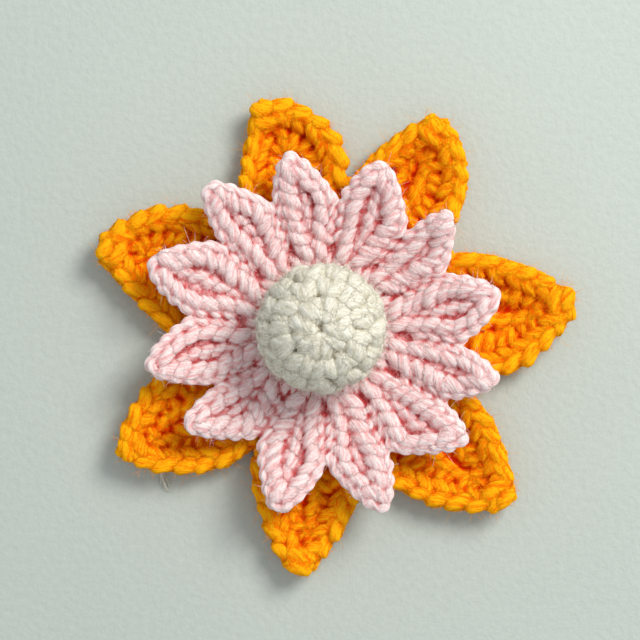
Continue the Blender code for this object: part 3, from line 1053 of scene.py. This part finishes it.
def ball_core(name, inset):
    """The stuffed body inside the ball's stitches."""
    shape = bmesh.new()
    bmesh.ops.create_uvsphere(shape, u_segments=32, v_segments=20, radius=1)
    for vertex in shape.verts:
        polar_deg = math.degrees(math.acos(max(-1.0, min(1.0, vertex.co.z))))
        around_deg = math.degrees(math.atan2(vertex.co.y, vertex.co.x))
        vertex.co = ball_point(polar_deg, around_deg, -inset)
    mesh = bpy.data.meshes.new(name)
    shape.to_mesh(mesh)
    shape.free()
    return mesh


# Light between the stitches

# How far a ray looks for yarn that closes a point in, how far outside the skin it starts, how many rays
# each point sends, and how squarely the skin has to face a ray that counts
HOLLOW_REACH = 4.2 * MM
HOLLOW_START = 0.05 * MM
HOLLOW_RAYS = 10
LOWEST_FACING = 0.15

# How much of a point's hollowness comes from what stands round it, and how much from a crease
CLOSED_WEIGHT = 0.62
CREASE_WEIGHT = 0.45

# A crease this deep below the skin around it counts as fully hollow, and the skin around it is what is
# left after this many rounds of smoothing
CREASE_DEPTH = 0.22 * MM
CREASE_ROUNDS = 12


def even_directions(count):
    """Directions spread evenly over a sphere."""
    found = []
    for number in range(count):
        height = 1 - 2 * (number + 0.5) / count
        angle = number * math.pi * (3 - math.sqrt(5))
        flat = math.sqrt(1 - height * height)
        found.append(Vector((flat * math.cos(angle), flat * math.sin(angle), height)))
    return found


def crease_depths(mesh):
    """How far each point lies below the smoothed skin around it, where a ridge is less than 0."""
    count = len(mesh.vertices)
    places = numpy.empty(count * 3)
    normals = numpy.empty(count * 3)
    edges = numpy.empty(len(mesh.edges) * 2, dtype=int)
    mesh.vertices.foreach_get("co", places)
    mesh.vertices.foreach_get("normal", normals)
    mesh.edges.foreach_get("vertices", edges)
    places = places.reshape(-1, 3)
    normals = normals.reshape(-1, 3)
    first, second = edges.reshape(-1, 2).T
    around = numpy.bincount(first, minlength=count) + numpy.bincount(second, minlength=count)
    smoothed_skin = places.copy()
    for _ in range(CREASE_ROUNDS):
        totals = numpy.zeros_like(places)
        for axis in range(3):
            values = smoothed_skin[:, axis]
            totals[:, axis] += numpy.bincount(first, values[second], count)
            totals[:, axis] += numpy.bincount(second, values[first], count)
        smoothed_skin = totals / numpy.maximum(around, 1)[:, None]
    return ((smoothed_skin - places) * normals).sum(axis=1)


def mark_hollows(pieces):
    """Writes to each point of the yarn how hollow its place is: about 1 where its neighbours close it in
    or a crease runs between two strands, and less than 0 on a ridge. The yarn's colour takes painted
    shade from it."""
    points = []
    faces = []
    for piece in pieces:
        first = len(points)
        points += [vertex.co.copy() for vertex in piece.data.vertices]
        faces += [[first + number for number in face.vertices] for face in piece.data.polygons]
    tree = BVHTree.FromPolygons(points, faces)
    directions = even_directions(HOLLOW_RAYS)
    for piece in pieces:
        values = []
        creases = crease_depths(piece.data)
        for vertex, crease in zip(piece.data.vertices, creases):
            normal = vertex.normal
            start = vertex.co + normal * HOLLOW_START
            total = 0.0
            closed = 0.0
            for direction in directions:
                facing = normal.dot(direction)
                if facing < LOWEST_FACING:
                    continue
                total += facing
                distance = tree.ray_cast(start, direction, HOLLOW_REACH)[3]
                if distance is not None:
                    closed += facing * (1 - distance / HOLLOW_REACH)
            closed_share = closed / total if total else 1.0
            values.append(CLOSED_WEIGHT * closed_share + CREASE_WEIGHT * crease / CREASE_DEPTH)
        piece.data.attributes["hollow"].data.foreach_set("value", values)


def unit_vector(rng):
    return Vector((rng.gauss(0, 1), rng.gauss(0, 1), rng.gauss(0, 1))).normalized()


def depth_finder(pieces):
    """Finds how hollow the yarn is at the point that is nearest to a place."""
    total = sum(len(piece.data.vertices) for piece in pieces)
    tree = KDTree(total)
    depths = []
    for piece in pieces:
        values = piece.data.attributes["hollow"].data
        for vertex, value in zip(piece.data.vertices, values):
            tree.insert(vertex.co, len(depths))
            depths.append(value.value)
    tree.balance()
    return lambda place: depths[tree.find(place)[1]]


# How loose fibres stand: how far they rise from their strand, how straight they follow it, how far they
# bend, and how many points they have
Nap = namedtuple("Nap", "longest rise follow bend steps")


# Where a fibre grows, as a share of its strand's width from the strand's middle, and how hollow a place
# may be for a fibre to grow there: always up to the first value, and never past the sum of both
FIBRE_ROOT = 0.48
ALWAYS_GROWS = 0.3
SOMETIMES_GROWS = 0.6


def loose_fibres(name, wearer, count, width, nap, depth_at, rng, material):
    """Fine fibres that stand off a skein's strands."""
    skein = Skein(name, lobes=1, lobe_depth=0.0, sides=FIBRE_SIDES)
    laid = 0
    while laid < count:
        points, widths = wearer.strands[rng.randrange(len(wearer.strands))]
        number = rng.randrange(1, len(points) - 1)
        here = points[number].lerp(points[number + 1], rng.random())
        tangent = (points[number + 1] - points[number]).normalized()
        outward = unit_vector(rng)
        outward = (outward - tangent * outward.dot(tangent)).normalized()
        root = here + outward * widths[number] * FIBRE_ROOT
        depth = depth_at(root)
        if depth > ALWAYS_GROWS + SOMETIMES_GROWS * rng.random():
            continue
        side = outward.cross(tangent)
        along = tangent * nap.follow * rng.choice((-1, 1)) + side * nap.follow * rng.uniform(0.2, 0.9)
        heading = along + outward * nap.rise * rng.random() + unit_vector(rng) * 0.6
        heading.normalize()
        bend = unit_vector(rng)
        length = nap.longest * rng.uniform(0.3, 1.0) ** 1.5
        fibre = []
        for step in range(nap.steps):
            share = step / (nap.steps - 1)
            place = root + heading * length * share + bend * length * nap.bend * share**2
            place.z = max(place.z, 0.05 * MM)
            fibre.append(place)
        # The fibre's colour takes painted shade from how hollow its root lies
        skein.lay(fibre, [width] * nap.steps, 0, depth)
        laid += 1
    return finished(skein.drawn(rng), material)


# Where the end of the sewing yarn comes out below a petal, and where its loose fibres end
TAIL_START = Vector((-36.4 * MM, -27.6 * MM, 0.9 * MM))
TAIL_END = Vector((-35.6 * MM, -32.6 * MM, 0.15 * MM))
TAIL_FIBRES = 14
TAIL_POINTS = 9
TAIL_FIBRE_WIDTH = 0.12 * MM


def yarn_tail(name, rng, material):
    """The frayed end of the sewing yarn, which lies on the paper."""
    skein = Skein(name, lobes=1, lobe_depth=0.0, sides=TAIL_SIDES)
    line = TAIL_END - TAIL_START
    for _ in range(TAIL_FIBRES):
        length = rng.uniform(0.6, 1.0)
        splay = Vector((rng.uniform(-1, 1), rng.uniform(-0.5, 0.5), 0)) * 1.7 * MM
        curl = Vector((rng.uniform(-1, 1), rng.uniform(-1, 1), 0)) * 1.2 * MM
        points = []
        for step in range(TAIL_POINTS):
            share = step / (TAIL_POINTS - 1)
            point = TAIL_START + line * length * share + splay * share**2
            point += curl * math.sin(math.pi * share) * 0.5
            point.z = max(0.1 * MM, TAIL_START.z * (1 - share) + 0.4 * MM * math.sin(math.pi * share))
            points.append(point)
        skein.lay(points, [TAIL_FIBRE_WIDTH] * TAIL_POINTS, 0)
    return finished(skein.drawn(rng), material)


# What the sidebar lists


def sizes():
    return bpy.context.scene.flower_sizes


def colours():
    return bpy.context.scene.flower_colours


def shades_of(colour):
    """One yarn's colour in light, its painted shade between stitches, and its pale tone, which partly
    paints highlights on its fibres.
    """
    return [getattr(colours(), colour + ending) for ending in ("", "_deep", "_pale")]


# The skeins that carry loose fibres, by colour
SKEINS = {}

# What starts the random draws of each operator
SEEDS = {"orange": 11, "pink": 23, "cream": 37, "sewing": 41, "fibres": 53}

# Radii of the rounds in the middle of each layer
ORANGE_ROUNDS = [radius * MM for radius in (5.0, 9.0, 13.0, 17.0, 21.0, 25.0)]
ORANGE_SEEN_ROUNDS = ORANGE_ROUNDS[4:]
PINK_ROUNDS = [radius * MM for radius in (3.9, 6.2, 8.6, 11.0, 13.4)]


class FLOWER_OT_orange_petals(bpy.types.Operator):
    """Makes the seven cupped orange petals"""

    bl_idname = "flower.orange_petals"
    bl_label = "Orange petals"

    def execute(self, context):
        rng = random.Random(SEEDS["orange"])
        material = yarn_material("orange")
        skein = Skein("orange_petal_stitches")
        for index in range(len(ORANGE_PETALS)):
            orange_petal_stitches(skein, index, sizes().orange_yarn, rng)
        width = sizes().orange_yarn
        middle_rounds(skein, ORANGE, ORANGE_ROUNDS, width, -0.4 * MM, True, rng)
        middle_rounds(skein, ORANGE, ORANGE_SEEN_ROUNDS, width, 0.4 * MM, False, rng)
        SKEINS["orange"] = skein
        core = petal_core("orange_core", ORANGE, ORANGE_CORE)
        skin = felted("orange_petals", skein.drawn(rng), core, ORANGE_FELT)
        fit_piece(finished(skin, material), "orange_yarn", "orange_petal_layer")
        return {"FINISHED"}


class FLOWER_OT_pink_petals(bpy.types.Operator):
    """Makes the twelve pink petals"""

    bl_idname = "flower.pink_petals"
    bl_label = "Pink petals"

    def execute(self, context):
        rng = random.Random(SEEDS["pink"])
        material = yarn_material("pink")
        skein = Skein("pink_petal_stitches")
        for index in range(len(PINK_PETALS)):
            pink_petal_stitches(skein, index, sizes().pink_yarn, rng)
        middle_rounds(skein, PINK, PINK_ROUNDS, sizes().pink_yarn, 0.2 * MM, False, rng)
        SKEINS["pink"] = skein
        core = petal_core("pink_core", PINK, PINK_CORE)
        skin = felted("pink_petals", skein.drawn(rng), core, PINK_FELT)
        fit_piece(finished(skin, material), "pink_yarn", "pink_petal_layer")
        return {"FINISHED"}


class FLOWER_OT_ball(bpy.types.Operator):
    """Makes the stuffed cream ball"""

    bl_idname = "flower.ball"
    bl_label = "Ball"

    def execute(self, context):
        rng = random.Random(SEEDS["cream"])
        material = yarn_material("cream")
        skein = Skein("ball_stitches")
        ball_stitches(skein, sizes().cream_yarn, rng)
        SKEINS["cream"] = skein
        core = ball_core("ball_core", BALL_CORE_INSET)
        skin = felted("ball", skein.drawn(rng), core, BALL_FELT)
        ball = finished(skin, material)
        fit_piece(ball, "cream_yarn", "cream_ball")
        return {"FINISHED"}


# The two stitches that cross on the back: their directions and the points of each
BACK_STITCH_DEGREES = (17, 107)
BACK_STITCH_POINTS = 13
STEM_POINTS = 9


def sewing_yarn(name, width, rng):
    """Two stitches that cross on the back, and the stem that runs from them up into the ball."""
    skein = Skein(name)
    low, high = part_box("sewing_stitches")
    for number, turned in enumerate(BACK_STITCH_DEGREES):
        level = low[2] + 0.57 * width + number * 0.6 * width
        reach = polar(turned, 0.46 * (high[0] - low[0]))
        points = []
        for step in range(BACK_STITCH_POINTS):
            share = 2 * step / (BACK_STITCH_POINTS - 1) - 1
            rise = 1.6 * width * max(0.0, abs(share) - 0.75) / 0.25
            points.append(Vector((AXIS.x + reach.x * share, AXIS.y + reach.y * share, level + rise)))
        skein.lay(points, [width] * BACK_STITCH_POINTS, 2.5)
    stem = []
    for step in range(STEM_POINTS):
        height = low[2] + width + (high[2] - low[2] - width) * step / (STEM_POINTS - 1)
        stem.append(Vector((AXIS.x, AXIS.y, height)))
    skein.lay(stem, [1.4 * width] * STEM_POINTS, 2)
    return skein.drawn(rng)


class FLOWER_OT_sewing_yarn(bpy.types.Operator):
    """Makes the yarn that sews the layers together"""

    bl_idname = "flower.sewing_yarn"
    bl_label = "Sewing yarn"

    def execute(self, context):
        drawn = sewing_yarn("sewing_yarn", sizes().sewing_yarn, random.Random(SEEDS["sewing"]))
        piece = finished(drawn, bpy.data.materials["cream_yarn"])
        fit_piece(piece, "cream_yarn", "sewing_stitches")
        return {"FINISHED"}


# How the short and the long fibres stand
NAP = Nap(1.5 * MM, 0.7, 0.7, 0.5, 4)
FUZZ = Nap(3.0 * MM, 1.0, 0.6, 0.9, 5)

# Each yarn's pieces of nap, and the length of its fibres as a share of the longest
FIBRE_ROWS = (("orange", 2, 1.0), ("pink", 2, 0.85), ("cream", 1, 0.75))


class FLOWER_OT_fibres(bpy.types.Operator):
    """Marks how deep the yarn lies, which sets its painted shade, and adds its loose fibres"""

    bl_idname = "flower.fibres"
    bl_label = "Loose fibres"

    def execute(self, context):
        names = ("orange_petals", "pink_petals", "ball", "sewing_yarn")
        pieces = [bpy.data.objects[name] for name in names]
        mark_hollows(pieces)
        depth_at = depth_finder(pieces)
        rng = random.Random(SEEDS["fibres"])
        for colour, nap_pieces, reach in FIBRE_ROWS:
            material = fibre_material(colour)
            nap = NAP._replace(longest=NAP.longest * reach)
            fuzz = FUZZ._replace(longest=FUZZ.longest * reach)
            kinds = [
                (f"{colour}_nap_{number + 1}", nap, sizes().nap_count, sizes().nap)
                for number in range(nap_pieces)
            ]
            kinds.append((f"{colour}_fuzz", fuzz, sizes().fuzz_count, sizes().fuzz))
            for name, kind, count, width in kinds:
                piece = loose_fibres(name, SKEINS[colour], count, width, kind, depth_at, rng, material)
                fit_piece(piece, colour + "_yarn")
        fit_piece(yarn_tail("yarn_tail", rng, bpy.data.materials["cream_fibres"]), "cream_yarn")
        return {"FINISHED"}


PAPER_HALF_WIDTH = 1.5
SKY_COLOUR = (0.93, 0.97, 1.0, 1.0)
SKY_STRENGTH = 0.58
WINDOW_SIZE = 0.3
WINDOW_ENERGY = 4.7
WINDOW_COLOUR = (1.0, 0.97, 0.92)
WINDOW_PLACE = Vector((0.36, 0.34, 0.52))
CAMERA_LENS = 100
CAMERA_SENSOR = 36
CAMERA_PLACE = Vector((-3.28 * MM, 3.69 * MM, 372.4 * MM))


def paper():
    """The sheet that the flower lies on."""
    shape = bmesh.new()
    bmesh.ops.create_grid(shape, x_segments=1, y_segments=1, size=PAPER_HALF_WIDTH)
    mesh = bpy.data.meshes.new("paper")
    shape.to_mesh(mesh)
    shape.free()
    mesh.materials.append(paper_material("paper", colours().paper))
    return placed(mesh)


def sky():
    """Even light from all round."""
    made = bpy.data.worlds.new("sky")
    made.use_nodes = True
    inputs = made.node_tree.nodes["Background"].inputs
    inputs["Color"].default_value = SKY_COLOUR
    inputs["Strength"].default_value = SKY_STRENGTH
    return made


def window():
    """A soft lamp at the upper right, which faces the flower."""
    lamp = bpy.data.lights.new("window", "AREA")
    lamp.shape = "RECTANGLE"
    lamp.size = WINDOW_SIZE
    lamp.size_y = WINDOW_SIZE
    lamp.energy = WINDOW_ENERGY
    lamp.color = WINDOW_COLOUR
    made = bpy.data.objects.new("window", lamp)
    made.location = WINDOW_PLACE
    made.rotation_euler = (-WINDOW_PLACE).to_track_quat("-Z", "Y").to_euler()
    return made


def camera():
    """The camera, which looks straight down."""
    lens = bpy.data.cameras.new("camera")
    lens.lens = CAMERA_LENS
    lens.sensor_width = CAMERA_SENSOR
    lens.clip_start = 10 * MM
    made = bpy.data.objects.new("camera", lens)
    made.location = CAMERA_PLACE
    return made


class FLOWER_OT_stage(bpy.types.Operator):
    """Sets the paper, the light and the camera"""

    bl_idname = "flower.stage"
    bl_label = "Paper, light and camera"

    def execute(self, context):
        scene = context.scene
        paper()
        scene.world = sky()
        scene.collection.objects.link(window())
        scene.camera = camera()
        scene.collection.objects.link(scene.camera)
        scene.view_settings.view_transform = "Standard"
        return {"FINISHED"}


class FLOWER_PT_sidebar(bpy.types.Panel):
    """Lists the flower's pieces"""

    bl_idname = "FLOWER_PT_sidebar"
    bl_label = "Crocheted flower"
    bl_space_type = "VIEW_3D"
    bl_region_type = "UI"
    bl_category = "Flower"

    def draw(self, context):
        for group in (sizes(), colours()):
            for name in group.__annotations__:
                self.layout.prop(group, name)
        for operator in OPERATORS:
            self.layout.operator(operator.bl_idname)


OPERATORS = (
    FLOWER_OT_stage,
    FLOWER_OT_orange_petals,
    FLOWER_OT_pink_petals,
    FLOWER_OT_ball,
    FLOWER_OT_sewing_yarn,
    FLOWER_OT_fibres,
)
CLASSES = (FlowerSizes, FlowerColours, *OPERATORS, FLOWER_PT_sidebar)


def register():
    for item in CLASSES:
        bpy.utils.register_class(item)
    bpy.types.Scene.flower_sizes = PointerProperty(type=FlowerSizes)
    bpy.types.Scene.flower_colours = PointerProperty(type=FlowerColours)


def unregister():
    del bpy.types.Scene.flower_colours
    del bpy.types.Scene.flower_sizes
    for item in reversed(CLASSES):
        bpy.utils.unregister_class(item)


def main():
    register()
    for operator in OPERATORS:
        getattr(bpy.ops.flower, operator.bl_idname.split(".")[1])()


if __name__ == "__main__":
    main()
